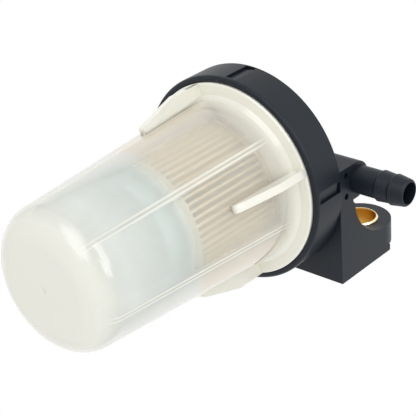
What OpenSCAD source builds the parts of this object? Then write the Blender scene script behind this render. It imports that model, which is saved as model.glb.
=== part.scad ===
// Fuel filter with a moulded head, a screw-on see-through bowl and a pleated paper element.
// Millimetres. The filter hangs upright: +Z up, outlet barb towards +X, bracket face towards +Y.
// Each piece is drawn about the filter's own axis, with Z = 0 at the skirt's lower edge,
// and placed() then moves it so that the origin is the middle of the bracket bolt's bush.

/* [Head] */
// Outer diameter of the skirt
skirt_d = 64; // [62:0.5:72]
// Height of the skirt
skirt_h = 11.5; // [11:0.1:16]
// Wall of the skirt at its mouth
mouth_wall = 1.65; // [1.5:0.05:2.5]
// Rounding of the skirt's lower outer edge
skirt_round = 0.9; // [0.3:0.1:1.4]
// Rounding of the skirt's upper outer edge
skirt_edge = 0.3; // [0.2:0.1:1]
// Rise of the head's shoulder above the skirt
shoulder_rise = 1.8; // [1.5:0.1:4]
// Diameter of the crown that carries the passages
crown_d = 46; // [40:1:50]
// Rise of the crown above the shoulder
crown_rise = 2.4; // [1:0.1:4]
// Wall between the bowl's space and the outside of the head
head_wall = 2.2; // [1.8:0.1:3]
// Depth of the wedge notches in the skirt
notch_depth = 0.8; // [0.4:0.1:1.2]
// Angle that each wedge notch covers
notch_angle = 6.5; // [4:0.5:12]

/* [Passages] */
// Width of the passage bar across the head
bar_w = 11.4; // [10:0.2:16]
// Setback of the bar's outlet end from the skirt's outside
bar_setback = 0.7; // [0.3:0.1:2]
// Distance of the bar's inlet end from the filter's axis
inlet_end = 25; // [24:0.2:30]
// Drop of the bar's half-round top below the passage's axis
bar_drop = 0.9; // [0:0.1:1.2]
// Height of the passage's axis above the skirt's lower edge
passage_h = 20.5; // [19:0.1:24]
// Bore of the passages and of the barbs
passage_d = 6.5; // [4:0.1:7]
// Distance of the inlet's drop from the filter's axis
inlet_x = 14.5; // [13:0.5:16]
// Outer diameter of the spigot that holds the element
spigot_d = 13; // [11:0.2:14]
// Reach of the spigot below the skirt's lower edge
spigot_drop = 6; // [5:0.2:8]

/* [Barbs] */
// Diameter of the barb's plain tube
tube_d = 8.4; // [8:0.1:10]
// Diameter over the barb's ridges
ridge_d = 9.3; // [9:0.1:12]
// Diameter of the barb's end
barb_end_d = 8.2; // [7.4:0.1:9]
// Length of the plain tube up to the first ridge
tube_len = 7.8; // [6:0.2:12]
// Length of the first ridge
ridge_len = 4.5; // [4:0.1:6]
// Length of the last ridge, up to the barb's end
tip_len = 5.1; // [4:0.1:7]
// Rounding of the barb's end
barb_round = 0.8; // [0.3:0.1:0.9]

/* [Lug] */
// Setback of the lug's side face from the skirt's outside
side_setback = 0.7; // [0.2:0.1:2]
// Width of the lug
lug_w = 19.6; // [19.6:0.2:21]
// Setback of the lug's bracket face from the skirt's outside
face_setback = 0.9; // [0.2:0.1:2]
// Height of the bolt above the skirt's lower edge
bolt_h = 34.1; // [33:0.2:42]
// Height at which the lug's hollow front leaves the passage bar
web_foot_h = 17.9; // [16:0.1:18]
// Radius of the lug's hollow front, seen from the side
web_r = 16.1; // [15:0.1:17]
// Length of the boss along the bolt
boss_len = 7.3; // [6:0.1:9]
// Setback of the boss's round end from the bracket face
boss_setback = 1.9; // [1:0.1:3]
// Reach of the lug's flat back beyond the bolt's axis
back_reach = 2.3; // [1:0.1:4]
// Radius of the boss, and of the lug's round end
boss_r = 9.8; // [8:0.1:9.8]
// Bore of the bush
bolt_d = 10.5; // [10.2:0.1:11]
// Wall of the bush
bush_wall = 0.6; // [0.5:0.05:1.2]
// Stand of the bush proud of the boss
bush_proud = 0.8; // [0.2:0.1:1]

/* [Bowl] */
// Ledge of the flange beyond the threaded neck
flange_ledge = 2.85; // [2.4:0.05:3.2]
// Step from the threaded neck in to the bowl's wall
neck_step = 1.7; // [1:0.1:2]
// Draft of the bowl's wall in degrees
bowl_draft = 3.68; // [2:0.02:4]
// Depth of the bowl below the skirt's lower edge
bowl_depth = 74.7; // [70:0.5:95]
// Wall of the bowl
bowl_wall = 1.6; // [1.4:0.1:2]
// Rounding of the bowl's bottom edge
bowl_round = 8.2; // [5:0.2:11]
// Thickness of the bowl's flange
flange_t = 3; // [2:0.1:4]
// Stand of the flange below the skirt's lower edge
flange_proud = 0.7; // [0.3:0.1:1.2]
// Length of each grip fin
fin_len = 25.6; // [15:0.2:30]
// Thickness of the grip fins
fin_t = 2.3; // [1.5:0.1:3]
// Setback of the fins' tops from the flange's edge
fin_setback = 0.1; // [0.1:0.1:1]
// Length of the fins' straight edge under the flange
fin_shoulder = 11; // [4:0.5:14]
// Stand of the fins' lower tips out of the bowl's wall
fin_tip = 2.3; // [0.8:0.1:3]
// Number of grip fins
fin_n = 4; // [2:1:6]
// Angle of the first grip fin
fin_a0 = -19; // [-40:1:40]
// Number of ribs inside the bowl
rib_n = 6; // [3:1:8]
// Width of each rib inside the bowl
rib_w = 1.2; // [0.8:0.1:2]
// Height of each rib inside the bowl
rib_h = 0.5; // [0.3:0.1:0.6]
// Angle of the first rib inside the bowl
rib_a0 = 13.5; // [0:0.5:30]

/* [Thread] */
// Pitch of the bowl's thread
pitch = 3; // [2.6:0.1:3.2]
// Turns of each thread ridge
thread_turns = 1.25; // [1:0.05:1.4]
// Height of the thread ridges
thread_h = 1.2; // [1:0.1:1.3]
// Width of a thread ridge at its root
thread_root = 1.2; // [1:0.1:1.3]
// Width of a thread ridge at its crest
thread_crest = 0.6; // [0.4:0.1:0.8]
// Thickness of the bowl's O-ring
oring_t = 2.4; // [2:0.1:2.6]

/* [Element] */
// Free space between the element's lower edge and the bowl's ribs
element_gap = 0.7; // [0.5:0.1:2]
// Distance of the element's top below the skirt's lower edge
element_top = 1.2; // [0.6:0.1:3]
// Length of the element between the outer faces of its caps
element_len = 39.2; // [30:0.2:42]
// Thickness of the end caps' plates
cap_t = 1.8; // [1.2:0.1:3]
// Overlap of the caps' rims over the paper
cap_rim = 1.8; // [1:0.1:4]
// Wall of the caps' rims
rim_wall = 0.6; // [0.4:0.1:1]
// Depth of the drum below the bottom cap
drum_h = 5; // [3:0.2:8]
// Step from the bottom cap's edge in to the drum
drum_step = 3.2; // [2:0.1:6]
// Number of pleats
pleat_n = 60; // [36:1:66]
// Thickness of the paper
paper_t = 0.35; // [0.25:0.05:0.4]
// Inner diameter of the pleats
pleat_inner_d = 21; // [20:0.2:24]
// Outer diameter of the perforated core
core_d = 20.4; // [18:0.2:22]
// Wall of the perforated core
core_wall = 1.1; // [0.8:0.1:1.6]
// Thickness of the bonding layer under each cap
bond_t = 0.8; // [0.4:0.1:1.2]
// Wall of the element's rubber seal
seal_wall = 2; // [1.4:0.1:2.6]
// Height of the element's rubber seal
seal_h = 5; // [4:0.2:6]

/* [Clearances] */
// Gap between pieces that turn or slide past each other
gap = 0.3; // [0.2:0.05:0.4]
// Radial gap of a sliding or pressed fit
fit = 0.05; // [0.02:0.01:0.1]

/* [Hidden] */
$fn = 96;
embed = 0.4;

// Head
skirt_r = skirt_d / 2;
mouth_r = skirt_r - mouth_wall;
flange_r = mouth_r - gap;
flange_top = flange_t - flange_proud;
pocket_top = flange_top + gap;
shoulder_h = skirt_h + shoulder_rise;
crown_h = shoulder_h + crown_rise;
cavity_top = shoulder_h - head_wall;
crown_ceiling = crown_h - head_wall;
crown_cavity_r = crown_d / 2 - head_wall;
neck_r = flange_r - flange_ledge;
thread_bore_r = neck_r + thread_h + gap;
shoulder_wall = 1.1;
shoulder_r = thread_bore_r + shoulder_wall;
edge_round = 1;
spigot_r = spigot_d / 2;
passage_r = passage_d / 2;
bar_r = bar_w / 2;
bar_end_x = skirt_r - bar_setback;
blind_d = 1.9;
blind_depth = 3;
blind_y = 3.35;
blind_drop = 5.9;
notch_lip = 0.7;
notch_bottom = 1.3;
notch_slot = 1;

// Barbs
barb_len = tube_len + ridge_len + tip_len;
ridge_rise = 0.6;
valley_rise = 0.1;

// Lug
lug_side_x = skirt_r - side_setback;
lug_face_y = skirt_r - face_setback;
bolt_x = lug_side_x - lug_w / 2;
boss_back_y = lug_face_y - boss_setback;
boss_front_y = boss_back_y - boss_len;
bush_len = lug_face_y - boss_front_y + bush_proud;
bush_r = bolt_d / 2 + bush_wall;
web_ledge = 0.7;
web_lift = 0.5;
bolt_mid_y = lug_face_y - bush_len / 2;

// Bowl
bowl_top_r = neck_r - neck_step;
neck_inner_r = bowl_top_r - bowl_wall;
oring_mid_r = (neck_r + neck_inner_r) / 2;
oring_groove = 0.5;
oring_z = cavity_top - fit - oring_t / 2;
neck_top = oring_z - oring_t / 2 + oring_groove;
thread_top = neck_top - thread_root / 2 - gap;
thread_bottom = thread_top - thread_turns * pitch;
thread_start = 72;
gate_r = 1;
gate_h = 0.4;
rib_high = -4;
rib_foot = -80;

// Element
top_z = -element_top;
bottom_z = top_z - element_len;
cap_r = bowl_r(bottom_z) - bowl_wall - rib_h - element_gap;
cap_edge = 0.5;
drum_r = cap_r - drum_step;
drum_wall = 1.2;
paper_top = top_z - cap_t - bond_t;
paper_bottom = bottom_z + cap_t + bond_t;
rim_r = cap_r - rim_wall;
paper_r = rim_r - fit;
paper_inner_r = pleat_inner_d / 2;
core_r = core_d / 2;
seal_r = spigot_r + fit + seal_wall;
collar_wall = 1.4;
core_rows = 4;
core_slots = 6;

// Radius of the bowl's outer wall at a height
function bowl_r(z) = bowl_top_r + tan(bowl_draft) * z;

// Points of an arc about [x, y] from angle a to angle b
function arc(x, y, r, a, b, n = 10) =
    [for (i = [0:n]) let (t = a + (b - a) * i / n) [x + r * cos(t), y + r * sin(t)]];

// Moves a piece from the filter's axis to the bolt's own frame
module placed() {
    translate([-bolt_x, -bolt_mid_y, -bolt_h]) children();
}

// Helical ridge of trapezoid section from r_root out (or in) to r_crest
module thread_ridge(r_root, r_crest, z_start, turns, a_start = 0) {
    steps = ceil(turns * 36);
    out = r_crest > r_root;
    section = [[r_root, -thread_root / 2], [r_crest, -thread_crest / 2],
               [r_crest, thread_crest / 2], [r_root, thread_root / 2]];
    ordered = out ? section : [for (i = [3:-1:0]) section[i]];
    points = [for (i = [0:steps]) let (t = turns * i / steps, a = a_start + 360 * t)
                 for (p = ordered) [p[0] * cos(a), p[0] * sin(a), z_start + pitch * t + p[1]]];
    sides = [for (i = [0:steps - 1], k = [0:3]) let (a = 4 * i + k, b = 4 * i + (k + 1) % 4)
                each [[a, b, b + 4], [a, b + 4, a + 4]]];
    last = 4 * steps;
    ends = [[0, 2, 1], [0, 3, 2], [last, last + 1, last + 2], [last, last + 2, last + 3]];
    polyhedron(points, concat(sides, ends), convexity = 6);
}

// Outside of the skirt, shoulder and crown, turned about the axis
module head_turning() {
    rotate_extrude()
        polygon(concat([[0, 0]],
            arc(skirt_r - skirt_round, skirt_round, skirt_round, -90, 0, 6),
            arc(skirt_r - skirt_edge, skirt_h - skirt_edge, skirt_edge, 0, 90, 4),
            [[shoulder_r, skirt_h]],
            arc(shoulder_r - edge_round, shoulder_h - edge_round, edge_round, 0, 90, 6),
            [[crown_d / 2, shoulder_h]],
            arc(crown_d / 2 - edge_round, crown_h - edge_round, edge_round, 0, 90, 6),
            [[0, crown_h]]));
}

// Space inside the head: mouth, thread bore, O-ring seat and crown chamber
module head_cavity() {
    chamfer = 0.8;
    rotate_extrude()
        polygon([[0, -1], [mouth_r, -1], [mouth_r, pocket_top], [thread_bore_r + chamfer, pocket_top],
                 [thread_bore_r, pocket_top + chamfer], [thread_bore_r, cavity_top],
                 [crown_cavity_r, cavity_top], [crown_cavity_r - 1, crown_ceiling], [0, crown_ceiling]]);
}

// Solid of the passage bar with its half-round top, and its feet down to the skirt beyond the crown
module passage_bar() {
    foot_x = crown_d / 2 - edge_round - embed;
    translate([-inlet_end, 0, 0]) rotate([90, 0, 90]) linear_extrude(inlet_end + bar_end_x)
        polygon(concat([[-bar_r, crown_h - embed], [bar_r, crown_h - embed]],
                       arc(0, passage_h - bar_drop, bar_r, 0, 180, 24)));
    translate([foot_x, -bar_r, skirt_h - embed])
        cube([bar_end_x - foot_x, bar_w, crown_h - skirt_h + 1]);
    translate([-inlet_end, -bar_r, shoulder_h - edge_round])
        cube([inlet_end - foot_x, bar_w, crown_h - shoulder_h + edge_round]);
}

// Barb along +X from an end face at the given distance from the axis
module barb(end_x) {
    tube_r = tube_d / 2;
    ridge_r = ridge_d / 2;
    end_r = barb_end_d / 2;
    valley_r = tube_r + valley_rise;
    translate([end_x, 0, passage_h]) rotate([0, 90, 0]) rotate_extrude()
        polygon(concat([[0, -1], [tube_r, -1], [tube_r, tube_len],
                        [ridge_r, tube_len + ridge_rise], [valley_r, tube_len + ridge_len],
                        [ridge_r, tube_len + ridge_len + ridge_rise]],
            arc(end_r - barb_round, barb_len - barb_round, barb_round, 15, 90, 6),
            [[0, barb_len]]));
}

// Side outline of the lug's web in the plane across X, as [y, z] points
function web_outline() =
    concat([[bar_r - 1, skirt_h], [bar_r - 1, web_foot_h], [bar_r + web_ledge, web_foot_h]],
           arc(boss_front_y - web_r, bolt_h + web_lift, web_r, -86, -4, 24),
           [[boss_front_y, bolt_h], [boss_back_y, bolt_h], [boss_back_y, bolt_h + back_reach],
            [lug_face_y, bolt_h + back_reach], [lug_face_y, skirt_h]]);

// Bracket lug: a web that rises from the head, ending in the round boss
module lug() {
    translate([lug_side_x - lug_w, 0, 0]) rotate([90, 0, 90]) linear_extrude(lug_w)
        polygon(web_outline());
    translate([bolt_x, boss_back_y, bolt_h]) rotate([90, 0, 0]) cylinder(r = boss_r, h = boss_len);
}

// One wedge notch in the skirt: a radial wall at angle a and a ramp towards side * angle
module notch(a, side) {
    deep_r = skirt_r - notch_depth;
    far = skirt_r + 1;
    rise = skirt_h - notch_lip;
    translate([0, 0, notch_bottom]) linear_extrude(rise - notch_bottom)
        polygon([[deep_r * cos(a), deep_r * sin(a)], [far * cos(a), far * sin(a)],
                 [far * cos(a + side * notch_angle), far * sin(a + side * notch_angle)],
                 [skirt_r * cos(a + side * notch_angle), skirt_r * sin(a + side * notch_angle)]]);
    // Deeper slot under the lip
    slot_w = skirt_r * sin(notch_angle) * 0.9;
    translate([0, 0, rise - notch_slot]) rotate([0, 0, a + side * notch_angle / 2])
        translate([deep_r - 0.5, -slot_w / 2, 0]) cube([2, slot_w, notch_slot]);
}

// Fuel passages: outlet down the spigot, inlet down to the chamber outside it
module passages() {
    inlet_reach = inlet_end + barb_len + 1;
    translate([0, 0, passage_h]) rotate([0, 90, 0])
        cylinder(r = passage_r, h = bar_end_x + barb_len + 1);
    translate([0, 0, -spigot_drop - 1]) cylinder(r = passage_r, h = passage_h + spigot_drop + 1);
    translate([-inlet_reach, 0, passage_h]) rotate([0, 90, 0])
        cylinder(r = passage_r, h = inlet_reach - inlet_x);
    translate([-inlet_x, 0, crown_ceiling - 1]) cylinder(r = passage_r, h = passage_h - crown_ceiling + 1);
}

// Small blind holes in the bar's outlet end, under the barb
module blind_holes() {
    for (y = [-blind_y, blind_y])
        translate([bar_end_x - blind_depth, y, passage_h - blind_drop]) rotate([0, 90, 0])
            cylinder(d = blind_d, h = blind_depth + 1);
}

// Spigot that the element's seal grips, with a lead-in at its tip
module spigot() {
    lead = 0.8;
    top = crown_ceiling + embed;
    rotate_extrude()
        polygon([[0, -spigot_drop], [spigot_r - lead, -spigot_drop], [spigot_r, lead - spigot_drop],
                 [spigot_r, top], [0, top]]);
}

module head() {
    color([0.17, 0.18, 0.2]) difference() {
        union() {
            difference() {
                union() {
                    head_turning();
                    passage_bar();
                    lug();
                }
                head_cavity();
            }
            barb(bar_end_x);
            mirror([1, 0, 0]) barb(inlet_end);
            spigot();
            thread_ridge(thread_bore_r + embed, thread_bore_r - thread_h,
                         thread_bottom + pitch * (thread_start / 360 - 1 / 2), thread_turns, thread_start);
        }
        passages();
        blind_holes();
        notch(-90, 1);
        notch(90, -1);
        notch(0, -1);
        notch(180, 1);
        translate([bolt_x, lug_face_y + 1, bolt_h]) rotate([90, 0, 0])
            cylinder(r = bush_r + fit, h = bush_len + 2);
    }
}

module mounting_bush() {
    bush_chamfer = 0.4;
    bore_r = bolt_d / 2;
    color([0.8, 0.62, 0.22]) translate([bolt_x, lug_face_y, bolt_h]) rotate([90, 0, 0]) rotate_extrude()
        polygon([[bore_r, 0], [bush_r, 0], [bush_r, bush_len - bush_chamfer],
                 [bush_r - bush_chamfer, bush_len], [bore_r, bush_len]]);
}

// Round of the bowl's bottom edge at an inset from its skin, from one angle to another
function bottom_round(inset, from, to) =
    let (z = bowl_round - bowl_depth, centre_r = bowl_r(z) - bowl_round / cos(bowl_draft))
    arc(centre_r, z, bowl_round - inset, from, to, 14);

// Outline of the bowl's skin from its floor's centre up to the wall, as [r, z] points
function bowl_outline(inset) =
    concat([[0, inset - bowl_depth]], bottom_round(inset, -90, -bowl_draft));

// Grip fin under the flange: flush with its edge at first, then tapering in to a blunt tip
module fin() {
    inside = bowl_wall / 2;
    tip_r = bowl_r(-fin_len) + fin_tip;
    top_r = flange_r - fin_setback;
    tip_edge = 0.6;
    rotate([90, 0, 0]) translate([0, 0, -fin_t / 2]) linear_extrude(fin_t)
        polygon([[bowl_r(0) - inside, 0], [top_r, 0], [top_r, -fin_shoulder],
                 [tip_r, tip_edge - fin_len], [tip_r - tip_edge, -fin_len],
                 [bowl_r(-fin_len) - inside, -fin_len]]);
}

// Rib along the inside of the bowl's wall and round its bottom edge
module inner_rib() {
    root = bowl_wall / 2;
    crest = bowl_wall + rib_h;
    rotate([90, 0, 0]) translate([0, 0, -rib_w / 2]) linear_extrude(rib_w)
        polygon(concat(bottom_round(root, rib_foot, -bowl_draft),
                       [[bowl_r(rib_high) - root, rib_high], [bowl_r(rib_high) - crest, rib_high]],
                       bottom_round(crest, -bowl_draft, rib_foot)));
}

module bowl() {
    outside = bowl_outline(0);
    inside = bowl_outline(bowl_wall);
    edge = 0.4;
    fillet = 1.2;
    seat_r = oring_t / 2 + fit * 2;
    seat_edge = oring_t / 2 + 0.2;
    color([0.92, 0.93, 0.9, 0.55]) {
        rotate_extrude()
            polygon(concat(outside,
                [[bowl_r(-flange_proud - fillet), -flange_proud - fillet],
                 [bowl_r(-flange_proud) + fillet, -flange_proud],
                 [flange_r - edge, -flange_proud], [flange_r, edge - flange_proud], [flange_r, flange_top],
                 [neck_r, flange_top], [neck_r, neck_top], [oring_mid_r + seat_edge, neck_top]],
                arc(oring_mid_r, oring_z, seat_r, -35, -145, 8),
                [[oring_mid_r - seat_edge, neck_top], [neck_inner_r, neck_top],
                 [neck_inner_r, -flange_proud]],
                [for (i = [len(inside) - 1:-1:0]) inside[i]]));
        thread_ridge(neck_r - embed, neck_r + thread_h, thread_bottom, thread_turns);
        for (i = [0:fin_n - 1]) rotate([0, 0, fin_a0 + i * 360 / fin_n]) fin();
        for (i = [0:rib_n - 1]) rotate([0, 0, rib_a0 + i * 360 / rib_n]) inner_rib();
        translate([0, 0, -bowl_depth - gate_h])
            cylinder(r1 = gate_r * 0.7, r2 = gate_r, h = gate_h + bowl_wall / 2);
    }
}

module bowl_o_ring() {
    color([0.1, 0.1, 0.1]) translate([0, 0, oring_z]) rotate_extrude()
        translate([oring_mid_r, 0]) circle(d = oring_t, $fn = 32);
}

module element_top_cap() {
    hole_r = seal_r + fit;
    collar_r = hole_r + collar_wall;
    collar_top = top_z - cap_t + seal_h;
    color([0.93, 0.94, 0.92]) rotate_extrude()
        polygon([[hole_r, top_z - cap_t], [rim_r, top_z - cap_t], [rim_r, paper_top - cap_rim],
                 [cap_r, paper_top - cap_rim], [cap_r, top_z - cap_edge], [cap_r - cap_edge, top_z],
                 [collar_r, top_z], [collar_r, collar_top], [hole_r, collar_top]]);
}

module element_bottom_cap() {
    color([0.93, 0.94, 0.92]) rotate_extrude()
        polygon([[0, bottom_z], [0, bottom_z + cap_t], [rim_r, bottom_z + cap_t],
                 [rim_r, paper_bottom + cap_rim], [cap_r, paper_bottom + cap_rim],
                 [cap_r, bottom_z + cap_edge], [cap_r - cap_edge, bottom_z],
                 [drum_r, bottom_z], [drum_r, bottom_z - drum_h], [drum_r - drum_wall, bottom_z - drum_h],
                 [drum_r - drum_wall, bottom_z]]);
}

// Pleated paper: one closed zigzag sheet
module filter_paper() {
    outer_w = paper_t / paper_r * 180 / PI;
    inner_w = paper_t / paper_inner_r * 180 / PI;
    step = 360 / pleat_n;
    outer_path = [for (i = [0:pleat_n - 1]) let (a = i * step)
                     each [[paper_r, a - outer_w], [paper_r, a + outer_w],
                           [paper_inner_r + paper_t, a + step / 2]]];
    inner_path = [for (i = [0:pleat_n - 1]) let (a = i * step)
                     each [[paper_r - paper_t, a], [paper_inner_r, a + step / 2 - inner_w],
                           [paper_inner_r, a + step / 2 + inner_w]]];
    all_points = [for (p = concat(outer_path, inner_path)) [p[0] * cos(p[1]), p[0] * sin(p[1])]];
    count = len(outer_path);
    color([0.85, 0.78, 0.62]) translate([0, 0, paper_bottom]) linear_extrude(paper_top - paper_bottom)
        polygon(all_points, [[for (i = [0:count - 1]) i], [for (i = [0:len(inner_path) - 1]) count + i]]);
}

// Tube inside the pleats, with rows of slots that let the fuel through
module element_core() {
    low = bottom_z + cap_t;
    height = top_z - cap_t - low;
    row_step = height / core_rows;
    slot_h = row_step / 2;
    slot_w = 4;
    color([0.9, 0.9, 0.88]) difference() {
        translate([0, 0, low]) rotate_extrude()
            polygon([[core_r - core_wall, 0], [core_r, 0], [core_r, height], [core_r - core_wall, height]]);
        for (row = [0:core_rows - 1], i = [0:core_slots - 1])
            translate([0, 0, low + row_step * (row + 0.5) - slot_h / 2])
                rotate([0, 0, (i + row % 2 / 2) * 360 / core_slots])
                    translate([core_r - core_wall * 2, -slot_w / 2, 0])
                        cube([core_wall * 3, slot_w, slot_h]);
    }
}

module element_seal() {
    lip = 0.6;
    low = top_z - cap_t;
    color([0.08, 0.08, 0.09]) rotate_extrude()
        polygon([[spigot_r + fit, low + lip], [spigot_r + fit + lip, low], [seal_r, low],
                 [seal_r, low + seal_h + lip], [spigot_r + fit + lip, low + seal_h + lip],
                 [spigot_r + fit, low + seal_h]]);
}

// Bonding layer between a cap and the paper's ends
module bond_layer(z) {
    bore_r = core_r + fit;
    rotate_extrude() polygon([[bore_r, z], [paper_r, z], [paper_r, z + bond_t], [bore_r, z + bond_t]]);
}

module top_bond() {
    color([0.75, 0.7, 0.55]) bond_layer(paper_top);
}

module bottom_bond() {
    color([0.75, 0.7, 0.55]) bond_layer(paper_bottom - bond_t);
}

placed() head();
placed() mounting_bush();
placed() bowl();
placed() bowl_o_ring();
placed() element_top_cap();
placed() element_bottom_cap();
placed() filter_paper();
placed() element_core();
placed() element_seal();
placed() top_bond();
placed() bottom_bond();
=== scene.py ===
"""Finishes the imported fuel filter: nylon head, see-through bowl, pleats, brass and rubber, in a plain studio."""
import math

import bmesh
import bpy
from mathutils import Matrix, Quaternion, Vector


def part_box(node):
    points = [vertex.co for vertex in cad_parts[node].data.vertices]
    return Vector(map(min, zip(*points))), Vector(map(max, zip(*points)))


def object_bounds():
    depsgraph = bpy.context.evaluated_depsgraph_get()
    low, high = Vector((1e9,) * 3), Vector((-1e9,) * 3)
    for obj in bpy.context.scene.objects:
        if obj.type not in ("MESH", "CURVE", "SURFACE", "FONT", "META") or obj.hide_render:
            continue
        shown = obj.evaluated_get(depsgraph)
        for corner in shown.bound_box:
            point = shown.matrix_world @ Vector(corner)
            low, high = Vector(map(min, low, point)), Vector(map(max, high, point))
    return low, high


bl_info = {
    "name": "Fuel filter finish",
    "version": (1, 0, 0),
    "blender": (4, 5, 0),
    "location": "View3D > Sidebar > Fuel filter",
    "description": "Dresses and lights the packed fuel filter",
    "category": "Object",
}

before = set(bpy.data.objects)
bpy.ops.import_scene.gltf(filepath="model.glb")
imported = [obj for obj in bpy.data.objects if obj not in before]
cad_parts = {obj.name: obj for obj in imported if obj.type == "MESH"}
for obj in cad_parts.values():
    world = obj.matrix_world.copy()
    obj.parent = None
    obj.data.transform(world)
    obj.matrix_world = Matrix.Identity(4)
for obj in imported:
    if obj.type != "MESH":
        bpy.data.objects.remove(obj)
CAD_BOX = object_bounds()

MM = 0.001
# Reach of the head's spigot below the skirt's lower edge: the head's box starts at the spigot's tip
SPIGOT_DROP = 6 * MM
# The studio, in metres: lamps' distance from the bowl, half the floor's side, and the nearest thing the camera sees
LAMP_DISTANCE = 0.5
FLOOR_REACH = 3
NEAREST_SEEN = 0.01
# The camera's sensor, in mm
SENSOR_WIDTH = 36
# Places of a Mix node's two colours and of their mixture
FIRST, SECOND, MIXED = 6, 7, 2

HEAD_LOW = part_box("head")[0]
RING_LOW, RING_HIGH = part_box("bowl_o_ring")
BUSH_LOW, BUSH_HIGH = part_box("mounting_bush")

# Centre of the skirt's lower edge, on the filter's own axis
SKIRT = Vector(((RING_LOW.x + RING_HIGH.x) / 2, (RING_LOW.y + RING_HIGH.y) / 2, HEAD_LOW.z + SPIGOT_DROP))
# Radius of the skirt: its front is the head's lowest Y
SKIRT_R = SKIRT.y - HEAD_LOW.y
# Height of the paper's lower end from the skirt's lower edge
PAPER_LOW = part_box("filter_paper")[0].z - SKIRT.z


def linear(code):
    """Linear red, green, blue and alpha of an sRGB hex code."""
    parts = [int(code[i:i + 2], 16) / 255 for i in (0, 2, 4)]
    return tuple([c / 12.92 if c <= 0.04045 else ((c + 0.055) / 1.055) ** 2.4 for c in parts] + [1.0])


def add(tree, kind, inputs=(), **settings):
    """One shader node: inputs maps each input to the socket that feeds it or to its own value."""
    node = tree.nodes.new(kind)
    for key, value in settings.items():
        if key == "stops":
            for stop, (position, colour) in zip(node.color_ramp.elements, value):
                stop.position = position
                stop.color = colour
        else:
            setattr(node, key, value)
    for key, value in dict(inputs).items():
        if isinstance(value, bpy.types.NodeSocket):
            tree.links.new(value, node.inputs[key])
        else:
            node.inputs[key].default_value = value
    return node


def new_material(name):
    """An empty node material and its tree."""
    material = bpy.data.materials.new(name)
    material.use_nodes = True
    material.node_tree.nodes.clear()
    return material, material.node_tree


def shade(colour, factor):
    """A linear colour made darker or lighter."""
    return tuple(channel * factor for channel in colour[:3]) + (1.0,)


def head_nylon(colour):
    """Glass-filled nylon, injection moulded: charcoal, satin, with the fine grain that the glass leaves."""
    material, tree = new_material("glass_filled_nylon")
    place = add(tree, "ShaderNodeTexCoord").outputs["Object"]
    # Grain of 0.5 mm, coarser than real glass fibres so that it shows
    fine = add(tree, "ShaderNodeTexNoise",
               {"Vector": place, "Scale": 1 / (0.5 * MM), "Detail": 3, "Roughness": 0.55}).outputs["Fac"]
    # Flow of the melt, in patches 9 mm across
    broad = add(tree, "ShaderNodeTexNoise",
                {"Vector": place, "Scale": 1 / (9 * MM), "Detail": 2, "Roughness": 0.55}).outputs["Fac"]
    tint = add(tree, "ShaderNodeValToRGB", {"Fac": broad},
               stops=((0.3, linear(colour)), (0.7, shade(linear(colour), 1.25)))).outputs["Color"]
    rough = add(tree, "ShaderNodeMapRange", {"Value": fine, "To Min": 0.38, "To Max": 0.5}).outputs["Result"]
    bump = add(tree, "ShaderNodeBump", {"Height": fine, "Strength": 0.12, "Distance": 0.05 * MM})
    shader = add(tree, "ShaderNodeBsdfPrincipled",
                 {"Base Color": tint, "Roughness": rough, "Normal": bump.outputs["Normal"],
                  "IOR": 1.5, "Specular IOR Level": 0.3})
    add(tree, "ShaderNodeOutputMaterial", {"Surface": shader.outputs["BSDF"]})
    return material


def turned_brass(colour, rim_highlight_colour):
    """Turned brass: warm metal with uneven rings round the bore from the lathe, and a paler end face painted on as
    the rim's highlight.
    """
    material, tree = new_material("turned_brass")
    place = add(tree, "ShaderNodeTexCoord").outputs["Object"]
    centre = (BUSH_LOW + BUSH_HIGH) / 2
    centred = add(tree, "ShaderNodeMapping", {"Vector": place, "Location": tuple(-centre)}).outputs["Vector"]
    # Rings 3.14 mm apart that waver with the tool's chatter; the wave texture has one ring for each tau / 20
    ring_spacing = 3.14 * MM
    rings = add(tree, "ShaderNodeTexWave",
                {"Vector": centred, "Scale": math.tau / 20 / ring_spacing, "Distortion": 0.6, "Detail": 2},
                wave_type="RINGS", rings_direction="Y").outputs["Fac"]
    turned = add(tree, "ShaderNodeValToRGB", {"Fac": rings},
                 stops=((0, linear(colour)), (1, shade(linear(colour), 0.8)))).outputs["Color"]
    along = add(tree, "ShaderNodeSeparateXYZ", {"Vector": centred}).outputs["Y"]
    from_middle = add(tree, "ShaderNodeMath", {0: along}, operation="ABSOLUTE").outputs[0]
    half = (BUSH_HIGH.y - BUSH_LOW.y) / 2
    # Painted highlight: the end face and its last 0.6 mm are paler
    cut = add(tree, "ShaderNodeMapRange",
              {"Value": from_middle, "From Min": half - 0.6 * MM, "From Max": half - 0.3 * MM}).outputs["Result"]
    tone = add(tree, "ShaderNodeMix", {"Factor": cut, FIRST: turned, SECOND: linear(rim_highlight_colour)},
               data_type="RGBA").outputs[MIXED]
    bump = add(tree, "ShaderNodeBump", {"Height": rings, "Strength": 0.15, "Distance": 0.03 * MM})
    shader = add(tree, "ShaderNodeBsdfPrincipled",
                 {"Base Color": tone, "Normal": bump.outputs["Normal"], "Metallic": 1, "Roughness": 0.25})
    add(tree, "ShaderNodeOutputMaterial", {"Surface": shader.outputs["BSDF"]})
    return material


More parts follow.
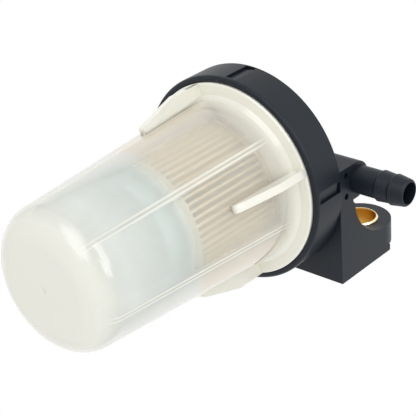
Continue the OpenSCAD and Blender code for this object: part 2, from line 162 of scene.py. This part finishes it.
def bowl_place(tree, place, sizes):
    """Where a point of the bowl lies: distance out from the outer wall, height, and distance across from a rib."""
    hung = add(tree, "ShaderNodeMapping", {"Vector": place, "Location": tuple(-SKIRT)}).outputs["Vector"]
    flat = add(tree, "ShaderNodeVectorMath", {0: hung, 1: (1, 1, 0)}, operation="MULTIPLY").outputs["Vector"]
    radius = add(tree, "ShaderNodeVectorMath", {0: flat}, operation="LENGTH").outputs["Value"]
    east, north, height = add(tree, "ShaderNodeSeparateXYZ", {"Vector": hung}).outputs
    wall = add(tree, "ShaderNodeMath", {0: height, 1: math.tan(sizes.bowl_draft), 2: sizes.bowl_top_r},
               operation="MULTIPLY_ADD").outputs[0]
    offset = add(tree, "ShaderNodeMath", {0: radius, 1: wall}, operation="SUBTRACT").outputs[0]
    bearing = add(tree, "ShaderNodeMath", {0: north, 1: east}, operation="ARCTAN2").outputs[0]
    turn = add(tree, "ShaderNodeMath", {0: bearing, 1: sizes.rib_turn}, operation="SUBTRACT").outputs[0]
    half_step = math.pi / sizes.rib_count
    nearest = add(tree, "ShaderNodeMath", {0: turn, 1: half_step, 2: -half_step}, operation="WRAP").outputs[0]
    angle = add(tree, "ShaderNodeMath", {0: nearest}, operation="ABSOLUTE").outputs[0]
    across = add(tree, "ShaderNodeMath", {0: angle, 1: radius}, operation="MULTIPLY").outputs[0]
    return offset, height, across


def natural_nylon(colours, sizes):
    """Natural nylon, injection moulded: a glossy skin over a frosted depth, milkier where the plastic is thick."""
    material, tree = new_material("natural_nylon")
    place = add(tree, "ShaderNodeTexCoord").outputs["Object"]
    offset, height, across = bowl_place(tree, place, sizes)
    # Cream and milky where it is thick: flange and fins out of the wall, neck, bottom, and both sides of each rib
    outside = add(tree, "ShaderNodeMapRange",
                  {"Value": offset, "From Min": 0.2 * MM, "From Max": 1.4 * MM}).outputs["Result"]
    neck = add(tree, "ShaderNodeMapRange",
               {"Value": height, "From Min": -9 * MM, "From Max": -1 * MM}).outputs["Result"]
    bottom = add(tree, "ShaderNodeMapRange",
                 {"Value": height, "From Min": sizes.round_top - 6 * MM, "From Max": sizes.round_top + 3 * MM,
                  "To Min": 0.8, "To Max": 0}).outputs["Result"]
    past = add(tree, "ShaderNodeMath", {0: across, 1: sizes.rib_width / 2}, operation="SUBTRACT").outputs[0]
    beside = add(tree, "ShaderNodeMath", {0: past}, operation="ABSOLUTE").outputs[0]
    rib_side = add(tree, "ShaderNodeMapRange",
                   {"Value": beside, "From Min": 0.1 * MM, "From Max": 0.68 * MM,
                    "To Min": 0.75, "To Max": 0}).outputs["Result"]
    # The wall scatters more towards the bottom, and seen edge-on, where light crosses more of it
    veil = add(tree, "ShaderNodeMapRange",
               {"Value": height, "From Min": sizes.round_top + 4 * MM, "From Max": sizes.round_top + 28 * MM,
                "To Min": 0.45, "To Max": 0}).outputs["Result"]
    facing = add(tree, "ShaderNodeLayerWeight", {"Blend": 0.5}).outputs["Facing"]
    grazing = add(tree, "ShaderNodeMapRange",
                  {"Value": facing, "From Min": 0.42, "From Max": 0.7, "To Max": 0.85}).outputs["Result"]
    cream = outside
    for part in (neck, bottom, rib_side):
        cream = add(tree, "ShaderNodeMath", {0: cream, 1: part}, operation="MAXIMUM").outputs[0]
    milk = cream
    for part in (grazing, veil):
        milk = add(tree, "ShaderNodeMath", {0: milk, 1: part}, operation="MAXIMUM").outputs[0]
    # Painted glow: the paper's beige light is painted into the wall's colour beside it
    painted_glow = add(tree, "ShaderNodeMapRange",
               {"Value": height, "From Min": PAPER_LOW - 1 * MM, "From Max": PAPER_LOW + 3 * MM}).outputs["Result"]
    wall = add(tree, "ShaderNodeMix",
               {"Factor": painted_glow, FIRST: linear(colours.bowl), SECOND: linear(colours.painted_glow)},
               data_type="RGBA").outputs[MIXED]
    # Painted shade: seen edge-on the wall takes darker tones, grey below the paper and beige beside it
    edge = add(tree, "ShaderNodeMix",
               {"Factor": painted_glow, FIRST: linear(colours.edge_shade_low), SECOND: linear(colours.edge_shade_high)},
               data_type="RGBA").outputs[MIXED]
    side = add(tree, "ShaderNodeMix", {"Factor": grazing, FIRST: wall, SECOND: edge},
               data_type="RGBA").outputs[MIXED]
    tone = add(tree, "ShaderNodeMix", {"Factor": cream, FIRST: side, SECOND: linear(colours.flange)},
               data_type="RGBA").outputs[MIXED]
    # Three quarters of the light crosses the thin wall, so the pleats show, and next to none crosses the flange
    clear = add(tree, "ShaderNodeMapRange", {"Value": milk, "To Min": 0.755, "To Max": 0.04}).outputs["Result"]
    # The inside IOR is low, as scattered light leaves the frosted wall more easily than clear nylon of 1.53
    shader = add(tree, "ShaderNodeBsdfPrincipled",
                 {"Base Color": tone, "Transmission Weight": clear, "Roughness": 0.26, "IOR": 1.33,
                  "Coat Weight": 1, "Coat Roughness": 0.015, "Coat IOR": 1.5})
    add(tree, "ShaderNodeOutputMaterial", {"Surface": shader.outputs["BSDF"]})
    return material


def pleat_paper(colour):
    """Resin-treated filter paper: matt beige with short fibres."""
    material, tree = new_material("filter_paper")
    place = add(tree, "ShaderNodeTexCoord").outputs["Object"]
    # Fibres 0.9 mm long
    fibres = add(tree, "ShaderNodeTexNoise",
                 {"Vector": place, "Scale": 1 / (0.9 * MM), "Detail": 6, "Roughness": 0.55}).outputs["Fac"]
    tone = add(tree, "ShaderNodeValToRGB", {"Fac": fibres},
               stops=((0.3, linear(colour)), (0.7, shade(linear(colour), 0.95)))).outputs["Color"]
    bump = add(tree, "ShaderNodeBump", {"Height": fibres, "Strength": 0.3, "Distance": 0.08 * MM})
    shader = add(tree, "ShaderNodeBsdfPrincipled",
                 {"Base Color": tone, "Normal": bump.outputs["Normal"], "Roughness": 0.9})
    add(tree, "ShaderNodeOutputMaterial", {"Surface": shader.outputs["BSDF"]})
    return material


def moulded_white(name, colour):
    """White polypropylene, injection moulded: smooth and slightly waxy."""
    material, tree = new_material(name)
    place = add(tree, "ShaderNodeTexCoord").outputs["Object"]
    # Flow of the melt, in patches 6 mm across
    broad = add(tree, "ShaderNodeTexNoise",
                {"Vector": place, "Scale": 1 / (6 * MM), "Detail": 2, "Roughness": 0.55}).outputs["Fac"]
    tone = add(tree, "ShaderNodeValToRGB", {"Fac": broad},
               stops=((0.3, linear(colour)), (0.7, shade(linear(colour), 0.95)))).outputs["Color"]
    shader = add(tree, "ShaderNodeBsdfPrincipled", {"Base Color": tone, "Roughness": 0.42})
    add(tree, "ShaderNodeOutputMaterial", {"Surface": shader.outputs["BSDF"]})
    return material


def cap_white(colour, rim_glow_colour, node):
    """White polypropylene cap, painted bluish grey below for the shade it sits in, and warmer up its thin rim with
    the paper's painted glow.
    """
    material, tree = new_material("cap_polypropylene")
    place = add(tree, "ShaderNodeTexCoord").outputs["Object"]
    height = add(tree, "ShaderNodeSeparateXYZ", {"Vector": place}).outputs["Z"]
    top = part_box(node)[1].z
    # Painted glow: the paper's beige light, painted up the rim's last 6 mm
    rim = add(tree, "ShaderNodeMapRange",
              {"Value": height, "From Min": top - 6 * MM, "From Max": top - 1 * MM}).outputs["Result"]
    tone = add(tree, "ShaderNodeMix", {"Factor": rim, FIRST: linear(colour), SECOND: linear(rim_glow_colour)},
               data_type="RGBA").outputs[MIXED]
    shader = add(tree, "ShaderNodeBsdfPrincipled", {"Base Color": tone, "Roughness": 0.42})
    add(tree, "ShaderNodeOutputMaterial", {"Surface": shader.outputs["BSDF"]})
    return material


def nitrile_rubber(colour, bloom_colour):
    """Nitrile rubber, moulded: near black, matt, with a faint grey bloom."""
    material, tree = new_material("nitrile_rubber")
    place = add(tree, "ShaderNodeTexCoord").outputs["Object"]
    # Bloom in specks 1.5 mm across
    bloom = add(tree, "ShaderNodeTexNoise",
                {"Vector": place, "Scale": 1 / (1.5 * MM), "Detail": 3, "Roughness": 0.55}).outputs["Fac"]
    tone = add(tree, "ShaderNodeValToRGB", {"Fac": bloom},
               stops=((0.3, linear(colour)), (0.7, linear(bloom_colour)))).outputs["Color"]
    shader = add(tree, "ShaderNodeBsdfPrincipled", {"Base Color": tone, "Roughness": 0.6})
    add(tree, "ShaderNodeOutputMaterial", {"Surface": shader.outputs["BSDF"]})
    return material


def cast_resin(colour):
    """Set bonding resin, poured: amber-grey, slightly glossy, uneven where it flowed."""
    material, tree = new_material("bonding_resin")
    place = add(tree, "ShaderNodeTexCoord").outputs["Object"]
    # Runs of resin 2 mm wide
    flow = add(tree, "ShaderNodeTexNoise",
               {"Vector": place, "Scale": 1 / (2 * MM), "Detail": 3, "Roughness": 0.55}).outputs["Fac"]
    tone = add(tree, "ShaderNodeValToRGB", {"Fac": flow},
               stops=((0.3, linear(colour)), (0.7, shade(linear(colour), 0.7)))).outputs["Color"]
    bump = add(tree, "ShaderNodeBump", {"Height": flow, "Strength": 0.4, "Distance": 0.1 * MM})
    shader = add(tree, "ShaderNodeBsdfPrincipled",
                 {"Base Color": tone, "Normal": bump.outputs["Normal"], "Roughness": 0.35})
    add(tree, "ShaderNodeOutputMaterial", {"Surface": shader.outputs["BSDF"]})
    return material


def dress(node, material):
    """Gives a CAD node its material."""
    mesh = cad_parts[node].data
    mesh.materials.clear()
    mesh.materials.append(material)


class FilterColours(bpy.types.PropertyGroup):
    """Colours of the filter's materials and the floor, as sRGB hex codes."""

    head: bpy.props.StringProperty(name="Head", description="Charcoal of the head's nylon", default="121922")
    bush: bpy.props.StringProperty(name="Bush", description="Brass of the bush", default="DCB05C")
    # Painted highlight: the pale brass painted on the bush's end faces
    bush_rim_highlight: bpy.props.StringProperty(name="Bush cut", description="Paler brass of the bush's freshly cut ends",
                                       default="FFF0CC")
    bowl: bpy.props.StringProperty(name="Bowl", description="Cool white of the bowl's wall", default="FAFEFA")
    flange: bpy.props.StringProperty(name="Flange", description="Cream of the thick flange, fins and ribs",
                                     default="F6F5E9")
    paper: bpy.props.StringProperty(name="Paper", description="Beige of the filter paper", default="FFF6E0")
    # Painted glow: warm white painted on the wall beside the paper, for the paper's light
    painted_glow: bpy.props.StringProperty(name="Glow", description="Warm white of the wall beside the paper",
                                   default="FFFBF0")
    # Painted shade: the darker tones painted on the wall where it is seen edge-on
    edge_shade_low: bpy.props.StringProperty(name="Low edge", description="White of the wall seen edge-on below the paper",
                                       default="DCDDD4")
    edge_shade_high: bpy.props.StringProperty(name="High edge", description="Beige of the wall seen edge-on by the paper",
                                        default="DDD0B8")
    # Painted shade: the lower cap's and the core's white plastic, painted bluish grey for the shade they sit in
    caps: bpy.props.StringProperty(name="Caps", description="Cool white of the element's lower cap", default="D0E4E8")
    # Painted glow: the paper's beige light painted on the lower cap's rim
    cap_rim_glow: bpy.props.StringProperty(name="Cap rim", description="Warm white of the lower cap's thin rim",
                                      default="F2E2CC")
    top_cap: bpy.props.StringProperty(name="Top cap", description="Warm white of the element's upper cap",
                                      default="F6F0E0")
    rubber: bpy.props.StringProperty(name="Rubber", description="Black of the seals", default="151515")
    bloom: bpy.props.StringProperty(name="Bloom", description="Grey bloom on the seals", default="2A2A2A")
    resin: bpy.props.StringProperty(name="Resin", description="Amber of the bonding resin", default="C9B88C")
    floor: bpy.props.StringProperty(name="Floor", description="Near white of the studio's floor", default="F4F4F4")


class FilterSizes(bpy.types.PropertyGroup):
    """Sizes of the bowl's wall, which its finish follows, with heights from the skirt's lower edge."""

    bowl_top_r: bpy.props.FloatProperty(name="Wall radius", default=25.5 * MM, unit="LENGTH",
                                        description="Radius of the bowl's wall at the skirt's edge")
    bowl_draft: bpy.props.FloatProperty(name="Draft", description="Draft of the bowl's wall",
                                        default=math.radians(3.68), subtype="ANGLE")
    round_top: bpy.props.FloatProperty(name="Round's top", description="Height at which the bottom's rounding starts",
                                       default=-66.5 * MM, unit="LENGTH")
    rib_width: bpy.props.FloatProperty(name="Rib width", description="Width of the ribs inside the bowl",
                                       default=1.2 * MM, unit="LENGTH")
    rib_turn: bpy.props.FloatProperty(name="Rib turn", description="Angle of the first rib inside the bowl",
                                      default=math.radians(13.5), subtype="ANGLE")
    rib_count: bpy.props.IntProperty(name="Ribs", description="Number of ribs inside the bowl", default=6, min=1)


class FilterStudio(bpy.types.PropertyGroup):
    """Camera, floor and lamps."""

    lens: bpy.props.FloatProperty(name="Lens", description="Focal length of the camera on its 36 mm sensor, in mm",
                                  default=113.65)
    roll: bpy.props.FloatProperty(name="Roll", description="Turn of the camera about its line of sight",
                                  default=math.radians(58.85), subtype="ANGLE")
    place: bpy.props.FloatVectorProperty(name="Place", description="Camera from the skirt's centre, in skirt radii",
                                         default=(7.187, -5.347, -8.036))
    look: bpy.props.FloatVectorProperty(name="Look", description="Direction the camera looks along",
                                        default=(-0.6045, 0.4624, 0.6486), subtype="DIRECTION")
    fill: bpy.props.FloatProperty(name="Fill", description="Strength of the white surround as a light", default=0.98)
    floor_drop: bpy.props.FloatProperty(name="Floor", default=0.5, unit="LENGTH",
                                        description="Depth of the floor below the filter's lowest point")


class FINISH_OT_head(bpy.types.Operator):
    """Gives the head its glass-filled nylon"""

    bl_idname = "fuel_filter.head"
    bl_label = "Head"

    def execute(self, context):
        dress("head", head_nylon(context.scene.filter_colours.head))
        return {"FINISHED"}


class FINISH_OT_bush(bpy.types.Operator):
    """Gives the mounting bush its turned brass"""

    bl_idname = "fuel_filter.bush"
    bl_label = "Mounting bush"

    def execute(self, context):
        colours = context.scene.filter_colours
        dress("mounting_bush", turned_brass(colours.bush, colours.bush_rim_highlight))
        return {"FINISHED"}


class FINISH_OT_bowl(bpy.types.Operator):
    """Gives the bowl its milky see-through nylon"""

    bl_idname = "fuel_filter.bowl"
    bl_label = "Bowl"

    def execute(self, context):
        dress("bowl", natural_nylon(context.scene.filter_colours, context.scene.filter_sizes))
        return {"FINISHED"}


class FINISH_OT_element(bpy.types.Operator):
    """Gives the element its paper, caps, core and bonding layers"""

    bl_idname = "fuel_filter.element"
    bl_label = "Element"

    def execute(self, context):
        colours = context.scene.filter_colours
        dress("filter_paper", pleat_paper(colours.paper))
        dress("element_bottom_cap", cap_white(colours.caps, colours.cap_rim_glow, "element_bottom_cap"))
        # Painted shade: the core shares the lower cap's painted bluish grey
        dress("element_core", moulded_white("white_polypropylene", colours.caps))
        dress("element_top_cap", moulded_white("warm_polypropylene", colours.top_cap))
        resin = cast_resin(colours.resin)
        for node in ("top_bond", "bottom_bond"):
            dress(node, resin)
        return {"FINISHED"}


class FINISH_OT_seals(bpy.types.Operator):
    """Gives both seals their nitrile rubber"""

    bl_idname = "fuel_filter.seals"
    bl_label = "Seals"

    def execute(self, context):
        colours = context.scene.filter_colours
        rubber = nitrile_rubber(colours.rubber, colours.bloom)
        for node in ("bowl_o_ring", "element_seal"):
            dress(node, rubber)
        return {"FINISHED"}


def soft_box(name, direction, along, size, radiance, gloss=True):
    """A panel in one direction from the bowl, its long side along another: it shows in gloss, or else only fills."""
    lamp = bpy.data.lights.new(name, "AREA")
    lamp.shape = "RECTANGLE"
    lamp.size, lamp.size_y = size
    lamp.energy = radiance * math.pi * size[0] * size[1]
    lamp_object = bpy.data.objects.new(name, lamp)
    bpy.context.scene.collection.objects.link(lamp_object)
    facing = Vector(direction).normalized()
    across = Vector(along).cross(facing).normalized()
    upright = facing.cross(across)
    lamp_object.rotation_mode = "QUATERNION"
    lamp_object.rotation_quaternion = Matrix((across, upright, facing)).transposed().to_quaternion()
    lamp_object.location = SKIRT - Vector((0, 0, SKIRT_R)) + facing * LAMP_DISTANCE
    lamp_object.visible_camera = False
    lamp_object.visible_diffuse = not gloss
    lamp_object.visible_glossy = gloss


def place_camera(scene, studio):
    """The camera in front of the filter, turned about its line of sight."""
    camera_data = bpy.data.cameras.new("camera")
    camera_data.sensor_width = SENSOR_WIDTH
    camera_data.lens = studio.lens
    camera_data.clip_start = NEAREST_SEEN
    camera = bpy.data.objects.new("camera", camera_data)
    scene.collection.objects.link(camera)
    camera.location = SKIRT + SKIRT_R * Vector(studio.place)
    look = Vector(studio.look).normalized()
    camera.rotation_mode = "QUATERNION"
    camera.rotation_quaternion = Quaternion(-look, studio.roll) @ look.to_track_quat("-Z", "Y")
    scene.camera = camera


def lay_floor(scene, studio, colour):
    """The near white floor, well below the filter, which hangs by its bracket."""
    floor_mesh = bpy.data.meshes.new("floor")
    bm = bmesh.new()
    bmesh.ops.create_grid(bm, x_segments=1, y_segments=1, size=FLOOR_REACH)
    bmesh.ops.translate(bm, verts=bm.verts, vec=(SKIRT.x, SKIRT.y, CAD_BOX[0].z - studio.floor_drop))
    bm.to_mesh(floor_mesh)
    bm.free()
    floor = bpy.data.objects.new("floor", floor_mesh)
    scene.collection.objects.link(floor)
    material, tree = new_material("pale_floor")
    shader = add(tree, "ShaderNodeBsdfPrincipled", {"Base Color": linear(colour), "Roughness": 0.8})
    add(tree, "ShaderNodeOutputMaterial", {"Surface": shader.outputs["BSDF"]})
    floor_mesh.materials.append(material)


def white_surround(scene, studio):
    """The world: plain white where it is seen, straight or in gloss or through the bowl, and the fill as a light."""
    world = bpy.data.worlds.new("studio")
    scene.world = world
    world.use_nodes = True
    tree = world.node_tree
    tree.nodes.clear()
    rays = add(tree, "ShaderNodeLightPath").outputs
    seen = rays["Is Camera Ray"]
    for ray in ("Is Glossy Ray", "Is Transmission Ray"):
        seen = add(tree, "ShaderNodeMath", {0: seen, 1: rays[ray]}, operation="MAXIMUM").outputs[0]
    strength = add(tree, "ShaderNodeMapRange", {"Value": seen, "To Min": studio.fill}).outputs["Result"]
    background = add(tree, "ShaderNodeBackground", {"Color": (1, 1, 1, 1), "Strength": strength})
    add(tree, "ShaderNodeOutputWorld", {"Surface": background.outputs["Background"]})


class FINISH_OT_stage(bpy.types.Operator):
    """Sets the camera, the pale floor, the world and the soft boxes"""

    bl_idname = "fuel_filter.stage"
    bl_label = "Stage"

    def execute(self, context):
        scene = context.scene
        place_camera(scene, scene.filter_studio)
        lay_floor(scene, scene.filter_studio, scene.filter_colours.floor)
        white_surround(scene, scene.filter_studio)
        # Two panels in front of the filter, whose reflections cross the bowl's rounded shoulder, and a soft fill:
        # direction from the bowl, direction of the long side, width and length in metres, radiance
        soft_box("panel_left", (0.219, -0.797, -0.564), (0.557, 0.544, -0.628), (0.33, 0.5), 1.8)
        soft_box("panel_right", (0.852, -0.51, 0.118), (0.513, 0.826, -0.235), (0.24, 0.43), 2.9)
        soft_box("panel_fill", (0.6, -0.5, -0.62), (0, 0, 1), (0.6, 0.6), 0.45, gloss=False)
        scene.view_settings.view_transform = "Standard"
        return {"FINISHED"}


class FINISH_PT_panel(bpy.types.Panel):
    """Lists the filter's pieces and the stage"""

    bl_idname = "FINISH_PT_panel"
    bl_label = "Fuel filter"
    bl_space_type = "VIEW_3D"
    bl_region_type = "UI"
    bl_category = "Fuel filter"

    def draw(self, context):
        for step in STEPS:
            self.layout.operator(step.bl_idname)


STEPS = (FINISH_OT_stage, FINISH_OT_head, FINISH_OT_bush, FINISH_OT_bowl, FINISH_OT_element, FINISH_OT_seals)
CLASSES = (FilterColours, FilterSizes, FilterStudio) + STEPS + (FINISH_PT_panel,)


def register():
    for one in CLASSES:
        bpy.utils.register_class(one)
    bpy.types.Scene.filter_colours = bpy.props.PointerProperty(type=FilterColours)
    bpy.types.Scene.filter_sizes = bpy.props.PointerProperty(type=FilterSizes)
    bpy.types.Scene.filter_studio = bpy.props.PointerProperty(type=FilterStudio)


def unregister():
    del bpy.types.Scene.filter_studio
    del bpy.types.Scene.filter_sizes
    del bpy.types.Scene.filter_colours
    for one in reversed(CLASSES):
        bpy.utils.unregister_class(one)


def main():
    register()
    bpy.ops.fuel_filter.stage()
    bpy.ops.fuel_filter.head()
    bpy.ops.fuel_filter.bush()
    bpy.ops.fuel_filter.bowl()
    bpy.ops.fuel_filter.element()
    bpy.ops.fuel_filter.seals()


if __name__ == "__main__":
    main()
